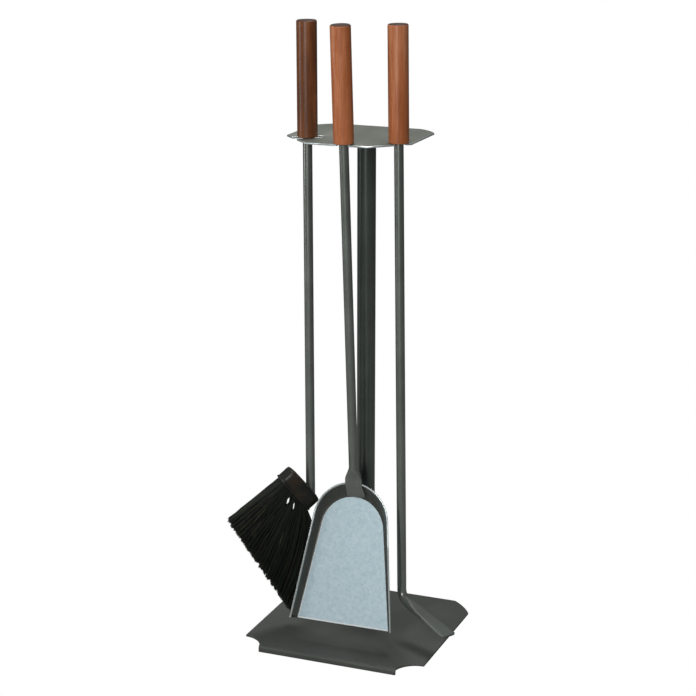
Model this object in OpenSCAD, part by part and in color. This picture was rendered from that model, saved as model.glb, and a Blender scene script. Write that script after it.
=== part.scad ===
/* [Base plate] */
// Width of the base plate across its side tips
base_width = 198; // [160:260]
// Distance from the column axis to the front face of the base
base_front = 114; // [90:140]
// Distance from the column axis to the back face of the base
base_back = 76; // [60:110]
// Height of the top of the base plate above the floor
base_top = 6.5; // [6.5:12]
// Size of the corners cut from the base plate
base_corner = 26; // [15:35]
// How far the middle of the base plate lies off the column axis
base_shift = 1; // [-3:3]

/* [Hanger plate] */
// Width of the hanger plate across its side tips
hanger_width = 133; // [115:160]
// Distance from the column axis to the front edge of the hanger
hanger_front = 66; // [64:75]
// Distance from the column axis to the back edge of the hanger
hanger_back = 51; // [35:70]
// Height of the top of the hanger plate above the floor
hanger_top = 527; // [480:580]
// How far the middle of the hanger plate lies off the column axis
hanger_shift = -6.5; // [-8:8]
// Width of the three open slots
slot_width = 12; // [11.5:14]

/* [Stand] */
// Thickness of both sheet steel plates
sheet = 2; // [1.5:3]
// Outer diameter of the column tube
column_d = 19; // [18:25]
// Wall thickness of the column tube
column_wall = 1.5; // [1:2]

/* [Tools] */
// Distance of the hanging tools from the column axis
tool_radius = 61.3; // [57:63]
// Angle of the brush and the poker to either side of the front
tool_angle = 52; // [45:60]
// Diameter of the tool rods
rod_d = 9.5; // [8:11]
// Diameter of the wooden handles
handle_d = 20.4; // [18:24]
// Length of the wooden handles
handle_length = 115; // [90:140]

/* [Shovel] */
// Half width of the pan at its open mouth
pan_half_mouth = 55.3; // [45:65]
// Radius of the round back of the pan rim
pan_rim_radius = 40.5; // [35:48]
// Length of the pan from the fold of the tab to the mouth
pan_length = 144; // [110:170]
// Depth of the pan
pan_depth = 8; // [5:12]
// Sheet thickness of the pan
pan_sheet = 1.2; // [1:2]

/* [Brush] */
// Length of the ferrule of the brush
ferrule_length = 46; // [40:60]
// Thickness of the ferrule of the brush
ferrule_thick = 22; // [18:26]

/* [Poker] */
// Length of the poker blade past the bend
blade_length = 68; // [45:80]
// Width of the blade at its end
blade_width = 18; // [14:24]

/* [Hidden] */
$fn = 96;
fine = 0.01;
// the origin is under the middle of the base, in front of the column
column_y = (base_front - base_back) / 2;
base_under = base_top - sheet;
rod_r = rod_d / 2;
hanger_under = hanger_top - sheet;
side = base_width / 2;
hside = hanger_width / 2;
tang_d = 6;
tang_length = 60;
// lift of a handle above the plate, so that a leaning one stays clear
brush_lift = 0.4;
shovel_lift = 0.95;
poker_lift = 0.5;
// leans of the three tools from the vertical, and which way each foot swings
brush_lean = 0.18;
shovel_lean = 3.3;
poker_lean = 0.79;
// the pan turns forward from the line of its rod by this angle
pan_turn = 20.3;
// slope of the pan wall, and of the tab that is pressed against it
wall_angle = atan2(pan_depth, 14);
// heights of features along each tool, measured down from the hanger top
shovel_fold = 359.6;
tang_start = 338;
tang_wide = 353;
brush_rod_end = 377;
poker_corner = 477;
poker_bend = 12;
blade_drop = 12.7;
// the brush head is drawn in the upright plane that runs out from the column
ferrule_height = 16.5;
ferrule_out = 13;
ferrule_down = 367.8;
ferrule_turn = 50.7;

// what is cut from the corner of a plate at (x, y), so that a slightly bowed
// edge runs from there across a w by h rectangle
module bowed_cut(x, y, w, h) {
  rise = 2.2;
  chord = sqrt(w * w + h * h);
  big = chord * chord / (8 * rise) + rise / 2;
  back = big - rise;
  difference() {
    translate([x - 4, y - 4]) square([w + 9, h + 9]);
    translate([x + w / 2 - back * h / chord, y + h / 2 - back * w / chord]) circle(r = big, $fn = 360);
  }
}

module on_column() {
  translate([0, column_y, 0]) children();
}

// the corners of the base; its front and back faces come from the side view
module base_outline() {
  cut_w = base_corner + 1;
  cut_h = base_corner + 2;
  difference() {
    translate([-side, -base_front - 3]) square([base_width, base_front + base_back + 6]);
    for (mirrored = [0, 1]) {
      mirror([mirrored, 0]) {
        translate([side, -base_front - 3]) circle(r = base_corner - 2);
        bowed_cut(side - cut_w, base_back - cut_h, cut_w, cut_h);
      }
    }
  }
}

// side view of the sheet: a flat top with both long edges folded down
module base_profile() {
  bend = 3;
  difference() {
    union() {
      translate([-base_front + bend, 0]) square([base_front + base_back - 2 * bend, base_top]);
      translate([-base_front, 0]) square([base_front + base_back, base_top - bend]);
      translate([-base_front + bend, base_top - bend]) circle(r = bend);
      translate([base_back - bend, base_top - bend]) circle(r = bend);
    }
    translate([-base_front + bend, -1]) square([base_front + base_back - 2 * bend, base_under + 1]);
    translate([-base_front + sheet, -1]) square([base_front + base_back - 2 * sheet, base_top - bend + 1]);
    translate([-base_front + bend, base_top - bend]) circle(r = bend - sheet);
    translate([base_back - bend, base_top - bend]) circle(r = bend - sheet);
  }
}

module base_plate() {
  color("#5b5f5e") on_column() difference() {
    intersection() {
      rotate([90, 0, 90]) linear_extrude(height = base_width + 10, center = true) base_profile();
      translate([base_shift, 0, -1]) linear_extrude(height = base_top + 2) base_outline();
    }
    translate([0, 0, -1]) cylinder(d = 8.6, h = base_top + 2);
  }
}

module base_washer() {
  color("#9a9c9b") on_column() difference() {
    translate([0, 0, base_under - 1.2]) cylinder(d = 20, h = 1.2);
    translate([0, 0, base_under - 2]) cylinder(d = 8.6, h = 3);
  }
}

module base_screw() {
  head = base_under - 1.2;
  color("#6f7271") on_column() difference() {
    union() {
      translate([0, 0, head - 2.8]) cylinder(d1 = 13, d2 = 14, h = 0.6);
      translate([0, 0, head - 2.2]) cylinder(d = 14, h = 2.2);
      translate([0, 0, head]) cylinder(d = 8, h = 19);
      translate([0, 0, head + 19]) cylinder(d1 = 8, d2 = 6.4, h = 0.8);
    }
    translate([0, 0, head - 4]) cylinder(d = 5.77, h = 3.2, $fn = 6);
  }
}

module column_foot_plug() {
  color("#8c8f8e") on_column() difference() {
    translate([0, 0, base_top]) cylinder(d = column_d - 2 * column_wall - 0.1, h = 24);
    translate([0, 0, base_top - 1]) cylinder(d = 8.1, h = 26);
  }
}

module column_head_plug() {
  color("#8c8f8e") on_column() difference() {
    translate([0, 0, hanger_under - 20]) cylinder(d = column_d - 2 * column_wall - 0.1, h = 20);
    translate([0, 0, hanger_under - 21]) cylinder(d = 8, h = 16);
  }
}

module column_tube() {
  color("#565b5a") on_column() difference() {
    translate([0, 0, base_top]) cylinder(d = column_d, h = hanger_under - base_top);
    translate([0, 0, base_top - 1]) cylinder(d = column_d - 2 * column_wall, h = hanger_under - base_top + 2);
  }
}

module hanger_outline() {
  chamfer = 34;
  difference() {
    translate([-hside, -hanger_front]) square([hanger_width, hanger_front + hanger_back]);
    for (mirrored = [0, 1]) {
      mirror([mirrored, 0]) {
        translate([hside, -hanger_front]) rotate(45) square(chamfer * sqrt(2), center = true);
        bowed_cut(hside - 21, hanger_back - 18, 21, 18);
      }
    }
  }
}

module slot(angle) {
  rotate(angle) {
    translate([0, -48]) circle(d = slot_width);
    translate([-slot_width / 2, -110]) square([slot_width, 62]);
  }
}

module hanger_plate() {
  color("#6d706d") on_column() translate([0, 0, hanger_under]) linear_extrude(height = sheet) difference() {
    translate([hanger_shift, 0]) hanger_outline();
    slot(0);
    slot(tool_angle);
    slot(-tool_angle);
  }
}

// places a tool at its slot, and lets its foot lean out of the vertical
module hung(angle, swing, lean) {
  on_column() rotate(angle) translate([0, -tool_radius, hanger_top]) rotate(swing - angle)
    rotate([lean, 0, 0]) rotate(-swing) children();
}

module brush_hung() {
  hung(-tool_angle, -tool_angle, brush_lean) rotate(-tool_angle) children();
}

module shovel_hung() {
  hung(0, -8, shovel_lean) children();
}

module poker_hung() {
  hung(tool_angle, -68, poker_lean) children();
}

module handle(lift) {
  r = handle_d / 2;
  translate([0, 0, lift]) rotate_extrude()
    polygon([[tang_d / 2 + 0.1, 0], [r - 0.6, 0], [r, 0.6], [r, handle_length - 1], [r - 1, handle_length],
      [0, handle_length], [0, tang_length + 1], [tang_d / 2 + 0.1, tang_length + 1]]);
}

module rod(length, lift) {
  translate([0, 0, -length]) cylinder(d = rod_d, h = length + lift);
  translate([0, 0, lift - fine]) cylinder(d = tang_d, h = tang_length);
}

module brush_handle() {
  color("#7a4a30") brush_hung() handle(brush_lift);
}

module brush_rod() {
  color("#6a6e6c") brush_hung() rod(brush_rod_end, brush_lift);
}

// axes for the brush head: X across the ferrule, Z towards its closed top
module brush_head() {
  translate([0, -ferrule_out, -ferrule_down]) rotate(90) rotate([0, ferrule_turn, 0]) children();
}

// a flat bar with rounded long edges, standing on the XY plane
module rounded_bar(length, thick, height, round) {
  linear_extrude(height = height) {
    square([length - 2 * round, thick], center = true);
    square([length, thick - 2 * round], center = true);
    for (x = [-1, 1]) {
      for (y = [-1, 1]) {
        translate([x * (length / 2 - round), y * (thick / 2 - round)]) circle(r = round);
      }
    }
  }
}

module rod_space() {
  brush_hung() translate([0, 0, -brush_rod_end - 0.1]) cylinder(d = rod_d + 0.1, h = 60);
}

module brush_ferrule() {
  color("#3c4240") difference() {
    brush_hung() brush_head() difference() {
      translate([0, 0, -ferrule_height / 2]) rounded_bar(ferrule_length, ferrule_thick, ferrule_height, 4);
      translate([0, 0, -ferrule_height / 2 - 1])
        rounded_bar(ferrule_length - 2.4, ferrule_thick - 2.4, ferrule_height - 0.2, 3);
    }
    rod_space();
  }
}

module brush_block() {
  color("#3a2a1e") difference() {
    brush_hung() brush_head() translate([0, 0, -ferrule_height / 2 + 5])
      rounded_bar(ferrule_length - 2.6, ferrule_thick - 2.6, ferrule_height - 6.3, 2.9);
    rod_space();
  }
}

// the outline of the fan of bristles, seen square on: X across, Y down the fan
module fan_outline() {
  half = ferrule_length / 2 - 2;
  polygon([[1 - half, 4], [half, 4], [half, -0.2], [62, -31], [99, -85], [96, -88], [-25.2, -64.5],
    [1 - half, -1]]);
}

module brush_bristles() {
  mouth = -ferrule_height / 2;
  thin = ferrule_thick / 2 - 2.2;
  color("#161915") brush_hung() brush_head() intersection() {
    translate([0, 0, mouth]) rotate([90, 0, 0]) linear_extrude(height = 60, center = true) fan_outline();
    rotate([90, 0, 90]) linear_extrude(height = 300, center = true)
      polygon([[-thin, 5], [thin, 5], [thin, mouth], [15, -140], [-15, -140], [-thin, mouth]]);
  }
}

module shovel_handle() {
  color("#a8664a") shovel_hung() handle(shovel_lift);
}

// axes for the pan: X across, Z up towards the rod, Y to the back of the sheet
module pan_axes() {
  translate([0, 0, -shovel_fold]) rotate([-pan_turn, 0, 0]) children();
}

// the lower end of the rod, forged flat: it spreads sideways as it gets thinner
module tang(top, spread, bottom) {
  wide = 9;
  front = -2.9;
  back = 0.5;
  intersection() {
    union() {
      translate([0, 0, -spread]) cylinder(r1 = wide, r2 = rod_r, h = spread - top);
      translate([0, 0, -bottom]) cylinder(r = wide, h = bottom - spread);
    }
    rotate([90, 0, 90]) linear_extrude(height = 40, center = true)
      polygon([[back, -bottom], [back, -spread], [5.3, 1 - top], [-5.5, 1 - top], [front, -spread], [front, -bottom]]);
  }
}

module shovel_rod() {
  color("#6a6e6c") shovel_hung() {
    rod(tang_start, shovel_lift);
    tang(tang_start, tang_wide, shovel_fold - 0.4);
    pan_axes() translate([0.8, -1.6, 0.4]) rotate([wall_angle, 0, 0]) tab();
  }
}

// the tab under the fold, set against the back wall of the pan
module tab() {
  thick = 2.3;
  rotate([90, 0, 0]) translate([0, 0, -1]) linear_extrude(height = thick) {
    polygon([[-8.4, 0.6], [8.4, 0.6], [11.2, -11], [-8.8, -11]]);
    polygon([[-6.8, -10], [9.2, -10], [9.2, -13], [-6.8, -13]]);
    translate([-6.8, -11]) circle(r = 2);
    translate([9.2, -11]) circle(r = 2);
  }
}

// one surface of the pan: a round back running out to a straight mouth
module pan_body(grow, deep, run) {
  hull() {
    translate([0, 0, -38]) rotate([-90, 0, 0]) cylinder(r = pan_rim_radius + grow, h = fine, $fn = 64);
    translate([-pan_half_mouth - grow, 0, -pan_length - run]) cube([2 * (pan_half_mouth + grow), fine, 1]);
    translate([0, deep, -46]) rotate([-90, 0, 0]) cylinder(r = pan_rim_radius - 6 + grow / 2, h = fine, $fn = 64);
    translate([-pan_half_mouth + 4.5 - grow / 2, deep, -pan_length - run])
      cube([2 * (pan_half_mouth - 4.5 + grow / 2), fine, 1]);
  }
}

module shovel_pan() {
  color("#a9bcc3") shovel_hung() pan_axes() difference() {
    pan_body(pan_sheet, pan_depth + pan_sheet, 0);
    translate([0, -fine, 0]) pan_body(0, pan_depth, 3);
  }
}

module poker_handle() {
  color("#a8664a") poker_hung() handle(poker_lift);
}

// axes for the blade: starts at the end of the bend, X along the blade
module blade_axes() {
  reach = poker_bend * tan((90 - blade_drop) / 2);
  translate([0, 0, -poker_corner]) rotate(-31) rotate([0, blade_drop, 0]) translate([reach, 0, 0]) children();
}

// side view of the forged blade: thick at the bend and thin at its end
module blade_side() {
  polygon([[-1, -5.4], [20, -2.6], [45, -1.5], [blade_length, -1.3], [blade_length, 1.3], [45, 1.5],
    [20, 2.6], [-1, 5.4]]);
}

// the blade seen from above, which only trims its two end corners
module blade_plan() {
  w = blade_width / 2;
  polygon([[-1, -w - 3], [blade_length - 1.4, -w - 3], [blade_length - 1.4, -w], [blade_length, 1.4 - w],
    [blade_length, w - 1.4], [blade_length - 1.4, w], [blade_length - 1.4, w + 3], [-1, w + 3]]);
}

// a slight swelling where two stretches of the bar meet
module knuckle() {
  sphere(d = rod_d + 0.6);
}

module poker_rod() {
  reach = poker_bend * tan((90 - blade_drop) / 2);
  gap = 2;
  color("#6a6e6c") poker_hung() {
    rod(poker_corner - reach - 0.4, poker_lift);
    translate([0, 0, -poker_corner + reach]) knuckle();
    translate([0, 0, -poker_corner + reach]) rotate(-31) translate([poker_bend, 0, 0]) rotate([90, 0, 0])
      rotate(180 + gap) rotate_extrude(angle = 90 - blade_drop - 2 * gap) translate([poker_bend, 0])
        circle(d = rod_d);
    blade_axes() knuckle();
    blade_axes() intersection() {
      rotate([0, 90, 0]) union() {
        translate([0, 0, 0.4]) cylinder(r1 = rod_r, r2 = 6.2, h = 19.6);
        translate([0, 0, 20]) cylinder(r1 = 6.2, r2 = blade_width / 2 + 0.2, h = blade_length - 20);
      }
      rotate([90, 0, 0]) linear_extrude(height = 40, center = true) blade_side();
      translate([0, 0, -20]) linear_extrude(height = 40) blade_plan();
    }
  }
}

base_plate();
base_screw();
base_washer();
column_tube();
column_foot_plug();
column_head_plug();
hanger_plate();
brush_handle();
brush_rod();
brush_ferrule();
brush_block();
brush_bristles();
shovel_handle();
shovel_rod();
shovel_pan();
poker_handle();
poker_rod();
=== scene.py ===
import math
import bmesh
import bpy
import numpy as np
from mathutils import Matrix, Vector


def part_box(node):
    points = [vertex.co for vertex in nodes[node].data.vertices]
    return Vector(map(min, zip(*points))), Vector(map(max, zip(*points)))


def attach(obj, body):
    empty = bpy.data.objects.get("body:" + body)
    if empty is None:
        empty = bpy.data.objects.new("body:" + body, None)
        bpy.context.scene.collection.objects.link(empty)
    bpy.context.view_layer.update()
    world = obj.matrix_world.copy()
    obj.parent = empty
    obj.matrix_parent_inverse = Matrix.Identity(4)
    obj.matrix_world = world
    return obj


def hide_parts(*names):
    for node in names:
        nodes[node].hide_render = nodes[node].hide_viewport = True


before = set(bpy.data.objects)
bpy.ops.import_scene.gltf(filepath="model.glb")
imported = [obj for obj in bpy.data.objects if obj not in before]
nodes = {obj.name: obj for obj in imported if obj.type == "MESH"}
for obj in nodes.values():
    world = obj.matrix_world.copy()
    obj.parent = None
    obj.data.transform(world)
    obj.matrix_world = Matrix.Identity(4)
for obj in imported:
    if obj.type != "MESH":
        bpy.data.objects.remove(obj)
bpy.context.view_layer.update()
print("stage: frame loaded")

mm = 0.001


def hexColor(code):
    # sRGB hex to linear
    out = []
    for i in (0, 2, 4):
        c = int(code[i:i + 2], 16) / 255
        out.append(c / 12.92 if c <= 0.04045 else ((c + 0.055) / 1.055) ** 2.4)
    return (*out, 1.0)


def addNode(tree, kind, settings=None, links=None, stops=()):
    # settings: plain values by socket or property name; links: input socket to an output socket
    # stops: the place and hex colour of each stop, on a node with a colour ramp
    n = tree.nodes.new(kind)
    for key, value in (settings or {}).items():
        if isinstance(key, str) and hasattr(n, key):
            setattr(n, key, value)
        else:
            n.inputs[key].default_value = value
    for key, source in (links or {}).items():
        tree.links.new(source, n.inputs[key])
    if stops:
        elements = n.color_ramp.elements
        while len(elements) < len(stops):
            elements.new(0.5)
        for element, (place, color) in zip(elements, stops):
            element.position = place
            element.color = hexColor(color)
    return n


def newMaterial(name, settings):
    mat = bpy.data.materials.new(name)
    mat.use_nodes = True
    tree = mat.node_tree
    tree.nodes.clear()
    shader = addNode(tree, "ShaderNodeBsdfPrincipled", settings)
    out = addNode(tree, "ShaderNodeOutputMaterial")
    tree.links.new(shader.outputs["BSDF"], out.inputs["Surface"])
    coord = addNode(tree, "ShaderNodeTexCoord")
    return mat, tree, shader, coord.outputs["Object"]


def dress(obj, mat):
    obj.data.materials.clear()
    obj.data.materials.append(mat)


def newPiece(name, bm, mat, smooth=True):
    mesh = bpy.data.meshes.new(name)
    bm.to_mesh(mesh)
    bm.free()
    for face in mesh.polygons:
        face.use_smooth = smooth
    obj = bpy.data.objects.new(name, mesh)
    bpy.context.scene.collection.objects.link(obj)
    obj.data.materials.append(mat)
    return obj


plates = {
    "eased": 0.45 * mm,
    "easedSegments": 2,
    "easedAngle": 60,      # edges sharper than this are eased
    "shearedBelow": 0.3,   # a face whose normal rises less than this is a sheared edge, and on the hanger plate it takes the painted edge highlight
}


def softEdged(node, mat, edge, sheared):
    # a copy of a CAD node with its sharp edges eased, as a deburred sheet has
    bm = bmesh.new()
    bm.from_mesh(nodes[node].data)
    bmesh.ops.remove_doubles(bm, verts=bm.verts, dist=2e-6)
    bmesh.ops.dissolve_limit(bm, angle_limit=math.radians(0.6), verts=bm.verts, edges=bm.edges)
    piece = newPiece(node + "_eased", bm, mat)
    bevel = piece.modifiers.new("ease", "BEVEL")
    bevel.width = plates["eased"]
    bevel.segments = plates["easedSegments"]
    bevel.limit_method = "ANGLE"
    bevel.angle_limit = math.radians(plates["easedAngle"])
    bevel.harden_normals = True
    # the eased faces take the plate's edge material, a painted highlight along its edges
    bevel.material = 1
    piece.data.materials.append(edge)
    # on a sheared plate the upright faces take the painted highlight too
    for face in piece.data.polygons:
        face.material_index = int(sheared and abs(face.normal.z) < plates["shearedBelow"])
    return piece


def toolFrame(handle):
    # a hanging tool's own axes: Z up along its rod, from where the rod crosses the top of the hanger
    points = np.unique(np.round([v.co for v in nodes[handle].data.vertices], 6), axis=0)
    centre = points.mean(0)
    axis = np.linalg.svd(points - centre)[2][0]
    axis = Vector(axis if axis[2] > 0 else -axis)
    centre = Vector(centre)
    origin = centre + axis * ((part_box("hanger_plate")[1].z - centre.z) / axis.z)
    turn = Vector((0, 0, 1)).rotation_difference(axis)
    return Matrix.Translation(origin) @ turn.to_matrix().to_4x4()


def moveBy(x, y, z):
    # a shift given in millimetres
    return Matrix.Translation((x * mm, y * mm, z * mm))


def turnBy(angle, axis):
    return Matrix.Rotation(math.radians(angle), 4, axis)


def ringAt(place, wide, thick, power, count=40, shift=(0, 0)):
    # one section of a bar in the XY plane of place
    # power 2 is an ellipse, and a large power is nearly a rectangle
    ring = []
    for i in range(count):
        a = 2 * math.pi * (i + 0.5) / count
        c, s = math.cos(a), math.sin(a)
        r = (abs(c) ** power + abs(s) ** power) ** (-1 / power)
        point = Vector(((wide * c * r + shift[0]) * mm, (thick * s * r + shift[1]) * mm, 0))
        ring.append(place @ point)
    return ring


def lofted(name, rings, mat):
    # a closed skin through rings of equal length, with its two ends capped
    bm = bmesh.new()
    rows = [[bm.verts.new(p) for p in ring] for ring in rings]
    count = len(rings[0])
    for a, b in zip(rows, rows[1:]):
        for i in range(count):
            j = (i + 1) % count
            bm.faces.new((a[i], a[j], b[j], b[i]))
    bm.faces.new(list(reversed(rows[0])))
    bm.faces.new(rows[-1])
    bmesh.ops.recalc_face_normals(bm, faces=bm.faces)
    return newPiece(name, bm, mat)


def smoothUpTo(piece, angle):
    # smooth shading that breaks at edges sharper than angle
    piece.data.set_sharp_from_angle(angle=math.radians(angle))
    return piece


def blendTo(a, b, t):
    return a + (b - a) * t


def eased(t):
    return t * t * (3 - 2 * t)


def applied(obj):
    # turns the evaluated object into a plain mesh with no modifiers
    dg = bpy.context.evaluated_depsgraph_get()
    mesh = bpy.data.meshes.new_from_object(obj.evaluated_get(dg))
    mesh.name = obj.name
    obj.modifiers.clear()
    obj.data = mesh
    return obj


camera = {
    "place": (0.7012, -1.7738, 0.8506),
    "azimuth": 21.92,
    "down": 15.83,
    "lens": 100.37,
}
camData = bpy.data.cameras.new("camera")
camData.lens = camera["lens"]
camData.sensor_width = 36
camObj = bpy.data.objects.new("camera", camData)
camObj.location = camera["place"]
camObj.rotation_euler = (math.radians(90 - camera["down"]), 0, math.radians(camera["azimuth"]))
bpy.context.scene.collection.objects.link(camObj)
bpy.context.scene.camera = camObj
bpy.context.scene.view_settings.view_transform = "Standard"

studio = {
    "room": 0.16,          # grey of the room that lights the metal and mirrors in it
    "roomTint": (0.96, 0.99, 1, 1),
    # place, aim, width and height, and power of each light
    "key": ((0.15, -2.1, 1.15), (0, 0, 0.33), (0.36, 1.5), 27.0),
    "side": ((-1.6, -0.9, 0.8), (0, 0, 0.3), (0.5, 1.4), 7.0),
    "top": ((-0.1, 0.45, 1.9), (0, 0, 0), (0.7, 0.7), 17.0),
}


def softBox(name, place, aim, size, power):
    data = bpy.data.lights.new(name, "AREA")
    data.shape = "RECTANGLE"
    data.size, data.size_y = size
    data.energy = power
    obj = bpy.data.objects.new(name, data)
    obj.location = place
    obj.rotation_euler = (Vector(aim) - Vector(place)).to_track_quat("-Z", "Y").to_euler()
    bpy.context.scene.collection.objects.link(obj)


def seenOrLit(tree, seen, lit):
    # the paper backdrop is clean white to the eye, and the metal mirrors a dimmer room
    path = addNode(tree, "ShaderNodeLightPath")
    mix = addNode(tree, "ShaderNodeMixShader", {}, {0: path.outputs["Is Camera Ray"]})
    tree.links.new(lit.outputs[0], mix.inputs[1])
    tree.links.new(seen.outputs[0], mix.inputs[2])
    return mix.outputs[0]


def makeStudio():
    world = bpy.data.worlds.new("studio")
    bpy.context.scene.world = world
    world.use_nodes = True
    tree = world.node_tree
    tree.nodes.clear()
    room = addNode(tree, "ShaderNodeBackground", {"Color": studio["roomTint"], "Strength": studio["room"]})
    paper = addNode(tree, "ShaderNodeBackground", {"Color": (1, 1, 1, 1), "Strength": 1.0})
    addNode(tree, "ShaderNodeOutputWorld", {}, {"Surface": seenOrLit(tree, paper, room)})
    for name in ("key", "side", "top"):
        softBox(name, *studio[name])


makeStudio()


def makeFloor():
    # burnt-out white paper: plain white to the eye, and a mid grey bounce on the object
    mat = bpy.data.materials.new("paperSweepMatte")
    mat.use_nodes = True
    tree = mat.node_tree
    tree.nodes.clear()
    seen = addNode(tree, "ShaderNodeEmission", {"Color": (1, 1, 1, 1), "Strength": 1.0})
    lit = addNode(tree, "ShaderNodeBsdfDiffuse", {"Color": hexColor("8C8C8C")})
    addNode(tree, "ShaderNodeOutputMaterial", {}, {"Surface": seenOrLit(tree, seen, lit)})
    bm = bmesh.new()
    bmesh.ops.create_grid(bm, x_segments=8, y_segments=8, size=9.0)
    floor = newPiece("floor", bm, mat, False)


makeFloor()
print("stage: studio ready")


def newFinish(name, surface, patterns, shares, tones, bump):
    # patterns: scale, detail, roughness and stretch along Z of each noise
    # shares: how much of each further pattern is mixed in; one without a share can still make the bump
    # tones: place and colour of each stop; bump: which pattern, strength and distance
    mat, tree, shader, coord = newMaterial(name, surface)
    layers = []
    for scale, detail, rough, stretch in patterns:
        at = addNode(tree, "ShaderNodeMapping", {"Scale": (1, 1, stretch)}, {"Vector": coord})
        grain = {"Scale": scale, "Detail": detail, "Roughness": rough}
        noise = addNode(tree, "ShaderNodeTexNoise", grain, {"Vector": at.outputs["Vector"]})
        layers.append(noise.outputs["Fac"])
    mixed = layers[0]
    for layer, share in zip(layers[1:], shares):
        mixed = addNode(tree, "ShaderNodeMix", {"data_type": "FLOAT", 0: share},
                        {2: mixed, 3: layer}).outputs[0]
    color = addNode(tree, "ShaderNodeValToRGB", {}, {"Fac": mixed}, tones).outputs["Color"]
    tree.links.new(color, shader.inputs["Base Color"])
    if bump:
        which, strength, distance = bump
        relief = addNode(tree, "ShaderNodeBump", {"Strength": strength, "Distance": distance},
                         {"Height": layers[which]})
        tree.links.new(relief.outputs["Normal"], shader.inputs["Normal"])
    return mat, tree, shader, coord, color


def lacqueredSheet(name, tone, light, roughness):
    # lacquered cold rolled sheet: dark grey, cloudy over about 70 mm, with lacquer grain of about 1 mm
    surface = {"Metallic": 0.0, "Roughness": roughness, "Specular IOR Level": 0.35}
    return newFinish(name, surface, [(14, 2, 0.5, 1), (900, 2, 0.5, 1)], [0.3],
                     [(0.3, tone), (0.7, light)], (1, 0.12, 0.0002))[0]


def lacqueredBar(name, tone, light, shine):
    # lacquered drawn bar: satin, patchy over about 33 mm, with draw lines 1.4 mm apart along the bar
    surface = {"Metallic": shine, "Roughness": 0.27}
    return newFinish(name, surface, [(30, 3, 0.5, 1), (700, 2, 0.5, 0.02)], [0.4],
                     [(0.3, tone), (0.7, light)], (1, 0.06, 0.0001))[0]


def galvanisedSheet():
    # hot dipped galvanised sheet: light blue-grey, with a fine spangle of about 2.4 mm
    mat, tree, shader, coord = newMaterial("galvanisedSheet", {"Metallic": 0.55, "Roughness": 0.5})
    cells = addNode(tree, "ShaderNodeTexVoronoi", {"Scale": 420.0, "Randomness": 1.0}, {"Vector": coord})
    spangle = addNode(tree, "ShaderNodeSeparateColor", {}, {"Color": cells.outputs["Color"]})
    cloud = addNode(tree, "ShaderNodeTexNoise", {"Scale": 210, "Detail": 4, "Roughness": 0.6},
                    {"Vector": coord})
    both = addNode(tree, "ShaderNodeMix", {"data_type": "FLOAT", 0: 0.28},
                   {2: cloud.outputs["Fac"], 3: spangle.outputs[0]}).outputs[0]
    tones = [(0.25, "B2C6CE"), (0.5, "BCD0D7"), (0.75, "C7D9DF")]
    color = addNode(tree, "ShaderNodeValToRGB", {}, {"Fac": both}, tones).outputs["Color"]
    tree.links.new(color, shader.inputs["Base Color"])
    relief = addNode(tree, "ShaderNodeBump", {"Strength": 0.05, "Distance": 0.0002}, {"Height": both})
    tree.links.new(relief.outputs["Normal"], shader.inputs["Normal"])
    return mat


def turnedWood(name, dark, middle, light, seed, cutHeight):
    # turned and satin varnished: long grain 4 to 5 mm apart, fine pores of 1.1 mm, warm streaks
    surface = {"Roughness": 0.34, "Specular IOR Level": 0.4, "Coat Weight": 0.15, "Coat Roughness": 0.2}
    patterns = [(190 + seed, 4, 0.6, 0.07), (26 + seed, 2, 0.5, 0.35), (900, 2, 0.5, 0.05)]
    tones = [(0.32, dark), (0.5, middle), (0.66, light)]
    mat, tree, shader, coord, color = newFinish(name, surface, patterns, [0.45, 0.2], tones,
                                                (2, 0.08, 0.0002))
    # above cutHeight the end grain shows, which drinks the stain and goes dark
    height = addNode(tree, "ShaderNodeSeparateXYZ", {}, {0: coord}).outputs["Z"]
    cut = addNode(tree, "ShaderNodeMath", {"operation": "GREATER_THAN", 1: cutHeight}, {0: height}).outputs[0]
    ends = addNode(tree, "ShaderNodeMix", {"data_type": "RGBA", 7: hexColor("4A3024")}, {0: cut, 6: color})
    tree.links.new(ends.outputs[2], shader.inputs["Base Color"])
    return mat


def zincPlated():
    # zinc plated turned steel: bright, cool, slightly cloudy
    return newFinish("zincPlatedSteel", {"Metallic": 1.0, "Roughness": 0.35}, [(220, 3, 0.5, 1)], [],
                     [(0.3, "8F9394"), (0.7, "B4B8B9")], None)[0]


def pressedFerrule():
    # pressed steel, dark lacquer over a brownish ground that shows through in patches of about 17 mm
    return newFinish("pressedSteelDarkLacquer", {"Metallic": 0.2, "Roughness": 0.42},
                     [(60, 3, 0.5, 1), (500, 2, 0.5, 1)], [],
                     [(0.4, "191D1A"), (0.52, "25231C"), (0.66, "382C20")], (1, 0.1, 0.0002))[0]


def blackFibre():
    # extruded nylon fibre, near black, with a little green and brown between strands
    mat, tree, shader, _ = newMaterial("nylonFibreBlack", {"Roughness": 0.55, "Specular IOR Level": 0.3})
    shade = addNode(tree, "ShaderNodeAttribute", {"attribute_name": "shade"}).outputs["Fac"]
    tones = [(0.0, "0B0F0A"), (0.35, "151B13"), (0.6, "20281B"), (0.8, "352F1F"), (1.0, "565647")]
    color = addNode(tree, "ShaderNodeValToRGB", {}, {"Fac": shade}, tones).outputs["Color"]
    tree.links.new(color, shader.inputs["Base Color"])
    return mat


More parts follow.
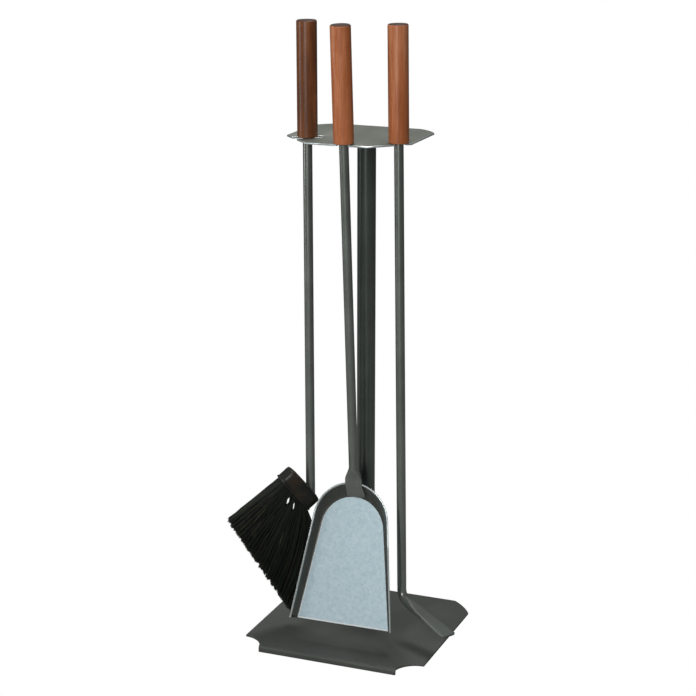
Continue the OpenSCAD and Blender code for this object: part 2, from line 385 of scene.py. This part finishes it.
sheetSteel = lacqueredSheet("lacqueredSheetSteel", "454845", "565854", 0.55)
# the hanger plate takes a lighter copy of the same lacquer
hangerSteel = lacqueredSheet("lacqueredSheetSteelLighter", "686C64", "7A7D74", 0.5)
barSteel = lacqueredBar("lacqueredDrawnBar", "848A84", "A0A59E", 0.85)
forgedSteel = lacqueredSheet("lacqueredForgedBlade", "4A4F4B", "5E635E", 0.38)
tubeSteel = lacqueredBar("lacqueredDrawnTube", "5E6661", "747B75", 0.75)
barDark = lacqueredBar("lacqueredPressedRim", "40423E", "50524C", 0.25)
# painted highlight: a near-white colour on the hanger's edges and on the pan wall's rim bead and cut edges
edgeHighlightPaint = lacqueredBar("shearedEdgePaintedHighlight", "B9C2C2", "D6DCDA", 0.6)
# painted highlight: a near-white colour along the pan floor's mouth, its left side and its cut edges
hemHighlightPaint = lacqueredBar("panHemPaintedHighlight", "E2EAEC", "F2F6F6", 0.1)
# painted highlight: a lighter colour on the base plate's eased edges
baseEdgeHighlightPaint = lacqueredBar("easedEdgePaintedHighlight", "8C938E", "A8AEA8", 0.4)
zinc = zincPlated()
galvanised = galvanisedSheet()
endGrain = 0.8 * mm        # how far the dark of the cut end reaches down from the top of a handle
cherry = turnedWood("turnedCherrySatin", "94502A", "B86C42", "D49068", 0,
                    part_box("poker_handle")[1].z - endGrain)
# the brush handle takes a darker copy of the cherry
darkCherry = turnedWood("turnedCherryDarker", "4E2C1A", "744426", "94603C", 31,
                        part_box("brush_handle")[1].z - endGrain)
ferruleSteel = pressedFerrule()
fibre = blackFibre()
noCut = 1.0                # above the whole set, so that no end grain shows
stainedBeech = turnedWood("stainedBeech", "2A1D15", "3A2A20", "48362A", 57, noCut)
print("stage: materials ready")


dress(nodes["column_tube"], tubeSteel)
for name in ("base_screw", "base_washer", "column_foot_plug", "column_head_plug"):
    dress(nodes[name], zinc)

# the edge material of each plate is a painted highlight
for name, mat, edge, sheared in (("base_plate", sheetSteel, baseEdgeHighlightPaint, False),
                                 ("hanger_plate", hangerSteel, edgeHighlightPaint, True)):
    piece = softEdged(name, mat, edge, sheared)
    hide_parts(name)
    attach(piece, "stand")
print("stage: stand ready")


for name, mat in (("brush_handle", darkCherry), ("shovel_handle", cherry), ("poker_handle", cherry),
                  ("brush_rod", barSteel), ("brush_block", stainedBeech)):
    dress(nodes[name], mat)

bar = {"radius": 4.75, "tang": 3.0, "tangLength": 60}


def upperRings(place, lift, foot):
    # the tang in the handle, the shoulder under it, and the straight bar down to foot
    r, t = bar["radius"], bar["tang"]
    steps = [(bar["tangLength"], t - 0.6), (bar["tangLength"] - 0.8, t), (lift + 0.1, t), (lift, r - 0.5),
             (lift - 0.4, r), (-60, r), (-160, r), (-260, r), (foot, r)]
    return [ringAt(place @ moveBy(0, 0, z), w, w, 2) for z, w in steps if z >= foot]


poker = {
    "lift": 0.5,         # gap between the handle and the hanger plate
    "corner": 477,       # where the bar would turn if it had no bend radius, below the hanger
    "bend": 12,
    "drop": 12.7,        # the blade falls by this angle
    "heading": -31,
    "length": 68,
    "halfWidth": 9,
    "neck": 22,          # length over which the bar is forged flat
    "neckThick": 2.5,
    "endThick": 1.3,
    "tipRound": 1.6,     # the last of the blade, where its corners are taken off
}


def makePoker():
    place = toolFrame("poker_handle")
    sweep = 90 - poker["drop"]
    reach = poker["bend"] * math.tan(math.radians(sweep / 2))
    rings = upperRings(place, poker["lift"], reach - poker["corner"] + 4)
    start = place @ moveBy(0, 0, reach - poker["corner"]) @ turnBy(poker["heading"], "Z")
    forgedFrom = len(rings) + 5
    toCentre, toBar = moveBy(poker["bend"], 0, 0), moveBy(-poker["bend"], 0, 0)
    radius, neck, neckThick = bar["radius"], poker["neck"], poker["neckThick"]
    for k in range(13):
        rings.append(ringAt(start @ toCentre @ turnBy(-sweep * k / 12, "Y") @ toBar, radius, radius, 2))
    end = start @ toCentre @ turnBy(-sweep, "Y") @ toBar
    long = poker["length"]
    for k in range(1, 25):
        x = k / 24 * (long - poker["tipRound"])
        f = eased(min(1, x / neck))
        thick = blendTo(radius, neckThick, f)
        if x >= neck:
            thick = blendTo(neckThick, poker["endThick"], (x - neck) / (long - neck))
        wide = blendTo(radius, poker["halfWidth"], min(1, (x / long) ** 0.8))
        rings.append(ringAt(end @ moveBy(0, 0, -x), thick, wide, blendTo(2, 9, f)))
    for x, inset in ((long - 0.9, 0.35), (long - 0.35, 0.9), (long, 1.7)):
        rings.append(ringAt(end @ moveBy(0, 0, -x), poker["endThick"] - inset * 0.15,
                            poker["halfWidth"] - inset, 9))
    piece = smoothUpTo(lofted("poker_forged", rings, barSteel), 50)
    piece.data.materials.append(forgedSteel)
    for face in piece.data.polygons:
        face.material_index = int(face.index >= forgedFrom * len(rings[0]))
    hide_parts("poker_rod")
    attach(piece, "poker")


makePoker()

shovel = {
    "lift": 0.95,        # gap between the handle and the hanger plate
    "spread": 338,       # where the bar starts to flatten, below the hanger
    "flat": 353,
    "fold": 359.6,
    "panTurn": 20.3,     # the pan turns forward from the bar by this angle
    "mouth": 55.3,       # half width of the rim at the mouth
    "rim": 40.5,
    "rimDown": 38,
    "floorDown": 46,
    "length": 144,
    "depth": 8,
    "wallRun": 14,       # how far the back wall runs in while it drops by the depth
    "tangHalf": 9,       # half width of the bar where it is forged flat
    "skin": 1.1,         # thickness of the drawn sheet
    "hem": 1.5,          # painted highlight strip along the mouth
    "leftHem": 0.012,    # painted highlight strip along the left side, as a share of the width
    "floorIn": 6.4,      # the floor starts this far in from the rim
    "sideShare": 0.75,   # how much of a row's offset the mouth takes up, and the round back
    "backShare": 0.95,
    "straightSteps": 14,
    "arcSteps": 36,
    "floorSteps": 15,
}
shovelPlace = toolFrame("shovel_handle")
panPlace = shovelPlace @ moveBy(0, 0, -shovel["fold"]) @ turnBy(-shovel["panTurn"], "X")


def makeShovelBar():
    rings = upperRings(shovelPlace, shovel["lift"], -shovel["spread"])
    wallAngle = math.degrees(math.atan2(shovel["depth"], shovel["wallRun"]))
    flatHalf = shovel["tangHalf"]
    for k in range(1, 13):
        t = eased(k / 12)
        z = blendTo(shovel["spread"], shovel["flat"], k / 12)
        rings.append(ringAt(shovelPlace @ moveBy(0, 0, -z), blendTo(bar["radius"], flatHalf, t),
                            blendTo(bar["radius"], 1.5, t), blendTo(2, 7, t), shift=(0, -1.25 * t)))
    rings.append(ringAt(shovelPlace @ moveBy(0, 0, -shovel["fold"] + 1.6), flatHalf, 1.4, 8, shift=(0, -1.3)))
    tab = panPlace @ moveBy(0.8, -1.6, 0.4) @ turnBy(wallAngle, "X")
    for z, wide, middle in ((-0.6, 9.1, -0.3), (-3, 9.4, 0.1), (-8, 9.9, 0.9), (-11, 10.1, 1.3),
                            (-12.2, 9.6, 1.3), (-12.8, 8.6, 1.3), (-13, 7.6, 1.3)):
        rings.append(ringAt(tab @ moveBy(middle, 0, z), wide, 1.1, 8, shift=(0, -0.15)))
    piece = smoothUpTo(lofted("shovel_bar_forged", rings, barSteel), 30)
    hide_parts("shovel_rod")
    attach(piece, "shovel")


def panOutline(out, down):
    # from the left mouth corner up, round the back and down to the right mouth corner
    # out is how far the line lies outside the rim, and is negative inside it
    half = shovel["mouth"] + out * shovel["sideShare"]
    radius = shovel["rim"] + out * shovel["backShare"]
    long, steps, arcSteps = shovel["length"], shovel["straightSteps"], shovel["arcSteps"]
    run = long - down
    # the angle at which the straight side meets the round back
    a = math.atan2(half, run) - math.asin(radius / math.hypot(half, run))
    x, z = radius * math.cos(a), radius * math.sin(a) - down
    points = [(-blendTo(half, x, k / steps), blendTo(-long, z, k / steps)) for k in range(steps)]
    for k in range(arcSteps + 1):
        b = blendTo(math.pi - a, a, k / arcSteps)
        points.append((radius * math.cos(b), radius * math.sin(b) - down))
    for k in range(1, steps + 1):
        points.append((blendTo(x, half, k / steps), blendTo(z, -long, k / steps)))
    return points


def onPan(x, deep, z):
    return panPlace @ Vector((x * mm, deep * mm, z * mm))


def makePan():
    depth = shovel["depth"]
    # how far outside the rim and how deep each row lies, from the rim's outer bead, down the wall
    # and round the fillet to the floor
    rows = [(0.9, -0.35), (0.55, -0.75), (0.0, -0.6), (-0.2, 0.0), (-0.9, 1.4), (-2.2, 4.0), (-3.3, 6.2),
            (-4.2, 7.3), (-5.4, 7.9), (-6.6, 8.0)]
    # the wall's top rows, round the rim's bead, take the painted highlight
    highlightRows = 3
    wall = bmesh.new()
    lines = []
    for out, deep in rows:
        down = blendTo(shovel["rimDown"], shovel["floorDown"], max(0, min(1, deep / depth)))
        lines.append([wall.verts.new(onPan(x, deep, z)) for x, z in panOutline(out, down)])
    for row, (a, b) in enumerate(zip(lines, lines[1:])):
        for i in range(len(a) - 1):
            face = wall.faces.new((a[i], b[i], b[i + 1], a[i + 1]))
            face.material_index = int(row < highlightRows)
    floor = bmesh.new()
    outline = panOutline(-shovel["floorIn"], shovel["floorDown"])
    sides = [(outline[i], outline[-1 - i]) for i in range(len(outline) // 2 + 1)]
    hem = shovel["hem"] / (outline[1][1] - outline[0][1])
    sides.insert(1, [[blendTo(a[k], b[k], hem) for k in (0, 1)] for a, b in zip(sides[0], sides[1])])
    steps = shovel["floorSteps"]
    shares = [0, shovel["leftHem"]] + [k / steps for k in range(1, steps + 1)]
    lines = []
    for left, right in sides:
        across = [(blendTo(left[0], right[0], t), blendTo(left[1], right[1], t)) for t in shares]
        lines.append([floor.verts.new(onPan(x, depth, z)) for x, z in across])
    for row, (a, b) in enumerate(zip(lines, lines[1:])):
        for k in range(len(shares) - 1):
            face = floor.faces.new((a[k], a[k + 1], b[k + 1], b[k]))
            # the row along the mouth and the strip along the left side take the painted highlight
            face.material_index = int(row == 0 or k == 0)
    bmesh.ops.remove_doubles(floor, verts=floor.verts, dist=1e-6)
    # each sheet's second material, on its cut edges, is a painted highlight
    for name, sheet, mat, edge, slot in (
            ("shovel_pan_wall", wall, barDark, edgeHighlightPaint, "rod_steel"),
            ("shovel_pan_floor", floor, galvanised, hemHighlightPaint, "galvanised_steel")):
        piece = newPiece(name, sheet, mat)
        solid = piece.modifiers.new("sheet", "SOLIDIFY")
        solid.thickness = shovel["skin"] * mm
        solid.offset = 0
        solid.material_offset_rim = 1
        piece.data.materials.append(edge)
        applied(piece)
        bm = bmesh.new()
        bm.from_mesh(piece.data)
        bmesh.ops.recalc_face_normals(bm, faces=bm.faces)
        bm.to_mesh(piece.data)
        bm.free()
        smoothUpTo(piece, 60)
        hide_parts("shovel_pan")
        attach(piece, "shovel")


makeShovelBar()
makePan()
print("stage: poker and shovel ready")

brush = {
    "out": 13,           # from the bar to the middle of the ferrule, outwards from the column
    "down": 367.8,
    "turn": 50.7,
    "halfLong": 23,
    "halfThick": 11,
    "height": 16.5,
    "strands": 3850,
    "strandPoints": 9,
    "strandRadius": 0.52,
    "tufts": 26,
    "inset": 2.6,          # the outermost roots stand this far in from the ferrule
    "tipSpread": 5,        # the fan grows this much thicker to each side by its tips
    "tipLeft": (-27.6, -68.5),
    "tipRight": (100.5, -87.5),
    "bow": (8.5, 14.5),    # how far the inner side of the fan bows out
    "gaps": ((3, -8.8), (12, -9.8)),
    "gapRadius": 1.9,
    "gapSlant": (0.456, 0.0, -0.0475),   # how the gaps run through the fan, per unit of its thickness
    "gapLong": 3,          # half length and half width of what moves round a gap, in gap radii
    "gapWide": 2.6,
}
brushPlace = toolFrame("brush_handle")
columnLow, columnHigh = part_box("column_tube")
columnMiddle = (columnLow + columnHigh) / 2
fromColumn = brushPlace.translation - columnMiddle
slotAngle = math.degrees(math.atan2(fromColumn.x, -fromColumn.y))
headPlace = (brushPlace @ turnBy(slotAngle, "Z") @ moveBy(0, -brush["out"], -brush["down"])
             @ turnBy(90, "Z") @ turnBy(brush["turn"], "Y"))


def headRing(z, grow, power):
    # a section of the ferrule, larger all round than its nominal size by grow
    return ringAt(headPlace @ moveBy(0, 0, z), brush["halfLong"] + grow, brush["halfThick"] + grow,
                  power, 64)


def makeFerrule():
    # a pressed cup: up the inside from its roof to the mouth, round the rolled rim, and over the crown
    h = brush["height"] / 2
    inner = [(h - 1.1, -1.0), (-h + 0.3, -1.0)]
    outer = [(-h, -0.2), (-h + 0.5, 0.45), (-h + 1.4, 0.5), (-h + 2.0, 0.0), (-h + 2.6, -0.25), (-2, -0.2),
             (h - 4, -0.2), (h - 2.2, -0.3), (h - 0.9, -0.8), (h - 0.2, -2.2), (h + 0.4, -5), (h + 0.8, -8),
             (h + 0.9, -10.4)]
    rings = [headRing(z, grow, 12) for z, grow in inner] + [headRing(z, grow, 8) for z, grow in outer]
    piece = smoothUpTo(lofted("brush_ferrule_pressed", rings, ferruleSteel), 50)
    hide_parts("brush_ferrule")
    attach(piece, "brush")


def makeFibreRoots():
    # the fibres packed tight inside the mouth of the ferrule, under the block
    mouth = -brush["height"] / 2
    rings = [headRing(mouth + z, -1.4, 12) for z in (-0.3, 1.5, 4.6)]
    piece = smoothUpTo(lofted("brush_fibre_roots", rings, fibre), 50)
    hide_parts("brush_bristles")
    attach(piece, "brush")


def bristleTree():
    tree = bpy.data.node_groups.new("bristleFan", "GeometryNodeTree")
    tree.interface.new_socket(name="Geometry", in_out="OUTPUT", socket_type="NodeSocketGeometry")
    sockets = {}
    for name, kind in (("Strands", "Int"), ("Strand Radius", "Float"), ("Half Length", "Float"),
                       ("Half Thickness", "Float"), ("Tip Spread", "Float"), ("Tufts", "Float"),
                       ("Left Tip", "Vector"), ("Right Tip", "Vector"), ("Bow", "Vector"),
                       ("Gap A", "Vector"), ("Gap B", "Vector"), ("Gap Slant", "Vector"),
                       ("Gap Radius", "Float")):
        sockets[name] = tree.interface.new_socket(name=name, in_out="INPUT", socket_type="NodeSocket" + kind)
    given = addNode(tree, "NodeGroupInput").outputs

    points = addNode(tree, "GeometryNodePoints", {}, {"Count": given["Strands"]}).outputs[0]
    made = {}
    for name, low, seed in (("across", -1, 3), ("through", -1, 11), ("luck", 0, 23)):
        chance = addNode(tree, "FunctionNodeRandomValue", {"data_type": "FLOAT", 2: low, 3: 1, "Seed": seed})
        points = addNode(tree, "GeometryNodeStoreNamedAttribute",
                         {"data_type": "FLOAT", "domain": "POINT", "Name": name},
                         {"Geometry": points, "Value": chance.outputs[1]}).outputs[0]
        made[name] = addNode(tree, "GeometryNodeInputNamedAttribute",
                             {"data_type": "FLOAT", "Name": name}).outputs[0]
    line = addNode(tree, "GeometryNodeCurvePrimitiveLine", {"End": (0, 0, -1)}).outputs[0]
    line = addNode(tree, "GeometryNodeResampleCurve", {"Count": brush["strandPoints"]},
                   {"Curve": line}).outputs[0]
    strands = addNode(tree, "GeometryNodeInstanceOnPoints", {},
                      {"Points": points, "Instance": line}).outputs[0]
    strands = addNode(tree, "GeometryNodeRealizeInstances", {}, {"Geometry": strands}).outputs[0]

    def work(rows):
        # each row is a name, a kind, an operation and its inputs
        # an input is a number, a vector, a socket or the name of an earlier row
        for name, kind, operation, *inputs in rows:
            settings, links = {"operation": operation}, {}
            for i, item in enumerate(inputs):
                item = made[item] if isinstance(item, str) else item
                key = "Scale" if operation == "SCALE" and i == 1 else i
                (links if isinstance(item, bpy.types.NodeSocket) else settings)[key] = item
            made[name] = addNode(tree, "ShaderNode" + kind, settings, links).outputs[0]

    # the points of a strand crowd towards its root, where the fan parts round its gaps
    # each strand belongs to a tuft, whose strands lean together and share a length
    work([
        ("t", "Math", "POWER", addNode(tree, "GeometryNodeSplineParameter").outputs["Factor"], 2.2),
        ("tuftsEach", "Math", "MULTIPLY", given["Tufts"], 0.5),
        ("tuftAt", "Math", "MULTIPLY", "across", "tuftsEach"),
        ("tuft", "Math", "FLOOR", "tuftAt"),
        ("rowAt", "Math", "MULTIPLY", "through", 2.5),
        ("row", "Math", "FLOOR", "rowAt"),
        ("tuftColumn", "Math", "MULTIPLY", "tuft", 17),
        ("tuftId", "Math", "ADD", "tuftColumn", "row"),
        ("tuftMiddle", "Math", "ADD", "tuft", 0.5),
        ("tuftAcross", "Math", "DIVIDE", "tuftMiddle", "tuftsEach"),
        ("ownLean", "Math", "MULTIPLY", "across", 0.45),
        ("tuftLean", "Math", "MULTIPLY", "tuftAcross", 0.55),
        ("lean", "Math", "ADD", "ownLean", "tuftLean"),
        ("leanUp", "Math", "ADD", "lean", 1),
        ("share", "Math", "MULTIPLY", "leanUp", 0.5),
        ("rootX", "Math", "MULTIPLY", "across", given["Half Length"]),
        ("rootY", "Math", "MULTIPLY", "through", given["Half Thickness"]),
        ("rootAcross", "VectorMath", "SCALE", (1, 0, 0), "rootX"),
        ("rootThrough", "VectorMath", "SCALE", (0, 1, 0), "rootY"),
        ("root", "VectorMath", "ADD", "rootAcross", "rootThrough"),
    ])
    chance = addNode(tree, "FunctionNodeRandomValue", {"data_type": "FLOAT", 2: 0, 3: 1, "Seed": 5},
                     {"ID": made["tuftId"]})
    made["tuftLuck"] = chance.outputs[1]
    tip = addNode(tree, "ShaderNodeMix", {"data_type": "VECTOR"},
                  {0: made["share"], 4: given["Left Tip"], 5: given["Right Tip"]})
    wobble = addNode(tree, "ShaderNodeCombineXYZ")
    for i, seed in enumerate((31, 37, 41)):
        chance = addNode(tree, "FunctionNodeRandomValue", {"data_type": "FLOAT", 2: 0, 3: 1, "Seed": seed})
        tree.links.new(chance.outputs[1], wobble.inputs[i])
    work([
        ("tuftReach", "Math", "MULTIPLY", "tuftLuck", 0.04),
        ("ownReach", "Math", "MULTIPLY", "luck", 0.02),
        ("bothReach", "Math", "ADD", "tuftReach", "ownReach"),
        ("reach", "Math", "ADD", 0.95, "bothReach"),
        ("rootToTip", "VectorMath", "SUBTRACT", tip.outputs[1], "root"),
        ("strand", "VectorMath", "SCALE", "rootToTip", "reach"),
        ("soFar", "VectorMath", "SCALE", "strand", "t"),
        ("straight", "VectorMath", "ADD", "root", "soFar"),
        ("spreadAt", "Math", "MULTIPLY", given["Tip Spread"], "t"),
        ("spreadBy", "Math", "MULTIPLY", "through", "spreadAt"),
        ("spread", "VectorMath", "SCALE", (0, 1, 0), "spreadBy"),
        ("fanned", "VectorMath", "ADD", "straight", "spread"),
        ("innerSide", "Math", "MAXIMUM", "across", 0),
        ("innerSquare", "Math", "MULTIPLY", "innerSide", "innerSide"),
        ("toGo", "Math", "SUBTRACT", 1, "t"),
        ("arch", "Math", "MULTIPLY", "t", "toGo"),
        ("hump", "Math", "MULTIPLY", "arch", "innerSquare"),
        ("bowBy", "Math", "MULTIPLY", "hump", 4),
        ("bow", "VectorMath", "SCALE", given["Bow"], "bowBy"),
        ("bowed", "VectorMath", "ADD", "fanned", "bow"),
        ("wobbleBy", "Math", "MULTIPLY", "t", 0.0016),
        ("wobbleEven", "VectorMath", "SUBTRACT", wobble.outputs[0], (0.5, 0.5, 0.5)),
        ("wander", "VectorMath", "SCALE", "wobbleEven", "wobbleBy"),
        ("place", "VectorMath", "ADD", "bowed", "wander"),
        ("gapReach", "Math", "MULTIPLY", given["Gap Radius"], brush["gapLong"]),
        ("gapSide", "Math", "MULTIPLY", given["Gap Radius"], brush["gapWide"]),
    ])
    # the strands part round two small gaps under the ferrule
    # a strand moves only sideways, or it would slip along itself and still cross the gap
    for gap in ("Gap A", "Gap B"):
        depth = addNode(tree, "ShaderNodeSeparateXYZ", {}, {0: made["place"]}).outputs["Y"]
        work([
            ("slant", "VectorMath", "SCALE", given["Gap Slant"], depth),
            ("middle", "VectorMath", "ADD", given[gap], "slant"),
            ("away", "VectorMath", "SUBTRACT", "place", "middle"),
        ])
        away = addNode(tree, "ShaderNodeSeparateXYZ", {}, {0: made["away"]}).outputs
        work([
            ("along", "Math", "DIVIDE", away["Z"], "gapReach"),
            ("alongSquare", "Math", "MULTIPLY", "along", "along"),
            ("fade", "Math", "SUBTRACT", 1, "alongSquare"),
            ("parted", "Math", "MAXIMUM", "fade", 0),
            ("off", "Math", "ABSOLUTE", away["X"]),
            ("offShare", "Math", "DIVIDE", "off", "gapSide"),
            ("nearness", "Math", "SUBTRACT", 1, "offShare"),
            ("near", "Math", "MAXIMUM", "nearness", 0),
            ("side", "Math", "SIGN", away["X"]),
            ("sideBy", "Math", "MULTIPLY", "side", given["Gap Radius"]),
            ("much", "Math", "MULTIPLY", "parted", "near"),
            ("push", "Math", "MULTIPLY", "sideBy", "much"),
            ("pushed", "VectorMath", "SCALE", (1, 0, 0), "push"),
            ("place", "VectorMath", "ADD", "place", "pushed"),
        ])
    # shade runs from 0 to 1 and colours each strand; a strand tapers to half its radius
    work([
        ("rareLuck", "Math", "POWER", "luck", 1.6),
        ("tuftPart", "Math", "MULTIPLY", "tuftLuck", 0.55),
        ("tuftShade", "Math", "ADD", 0.45, "tuftPart"),
        ("shade", "Math", "MULTIPLY", "rareLuck", "tuftShade"),
        ("taperBy", "Math", "MULTIPLY", "t", 0.5),
        ("taper", "Math", "SUBTRACT", 1, "taperBy"),
    ])
    strands = addNode(tree, "GeometryNodeSetPosition", {},
                      {"Geometry": strands, "Position": made["place"]}).outputs[0]
    strands = addNode(tree, "GeometryNodeStoreNamedAttribute",
                      {"data_type": "FLOAT", "domain": "POINT", "Name": "shade"},
                      {"Geometry": strands, "Value": made["shade"]}).outputs[0]
    profile = addNode(tree, "GeometryNodeCurvePrimitiveCircle", {"Resolution": 3},
                      {"Radius": given["Strand Radius"]}).outputs[0]
    skin = addNode(tree, "GeometryNodeCurveToMesh", {"Fill Caps": True},
                   {"Curve": strands, "Profile Curve": profile, "Scale": made["taper"]}).outputs[0]
    done = addNode(tree, "GeometryNodeRealizeInstances", {}, {"Geometry": skin}).outputs[0]
    done = addNode(tree, "GeometryNodeSetMaterial", {"Material": fibre}, {"Geometry": done}).outputs[0]
    addNode(tree, "NodeGroupOutput", {}, {0: done})
    return tree, sockets


def makeBristles():
    tree, sockets = bristleTree()
    mesh = bpy.data.meshes.new("brush_fibres")
    piece = bpy.data.objects.new("brush_fibres", mesh)
    bpy.context.scene.collection.objects.link(piece)
    grow = piece.modifiers.new("bristles", "NODES")
    grow.node_group = tree
    (leftX, leftZ), (rightX, rightZ), (bowX, bowZ) = brush["tipLeft"], brush["tipRight"], brush["bow"]
    (firstX, firstZ), (secondX, secondZ) = brush["gaps"]
    values = {
        "Strands": brush["strands"],
        "Strand Radius": brush["strandRadius"] * mm,
        "Half Length": (brush["halfLong"] - brush["inset"]) * mm,
        "Half Thickness": (brush["halfThick"] - brush["inset"]) * mm,
        "Tip Spread": brush["tipSpread"] * mm,
        "Tufts": float(brush["tufts"]),
        "Left Tip": (leftX * mm, 0, leftZ * mm),
        "Right Tip": (rightX * mm, 0, rightZ * mm),
        "Bow": (bowX * mm, 0, bowZ * mm),
        "Gap A": (firstX * mm, 0, firstZ * mm),
        "Gap B": (secondX * mm, 0, secondZ * mm),
        "Gap Slant": brush["gapSlant"],
        "Gap Radius": brush["gapRadius"] * mm,
    }
    for name, value in values.items():
        grow[sockets[name].identifier] = value
    piece = applied(piece)
    piece.data.transform(headPlace @ moveBy(0, 0, -brush["height"] / 2))
    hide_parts("brush_bristles")
    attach(piece, "brush")


makeFerrule()
makeFibreRoots()
makeBristles()
print("stage: brush ready")
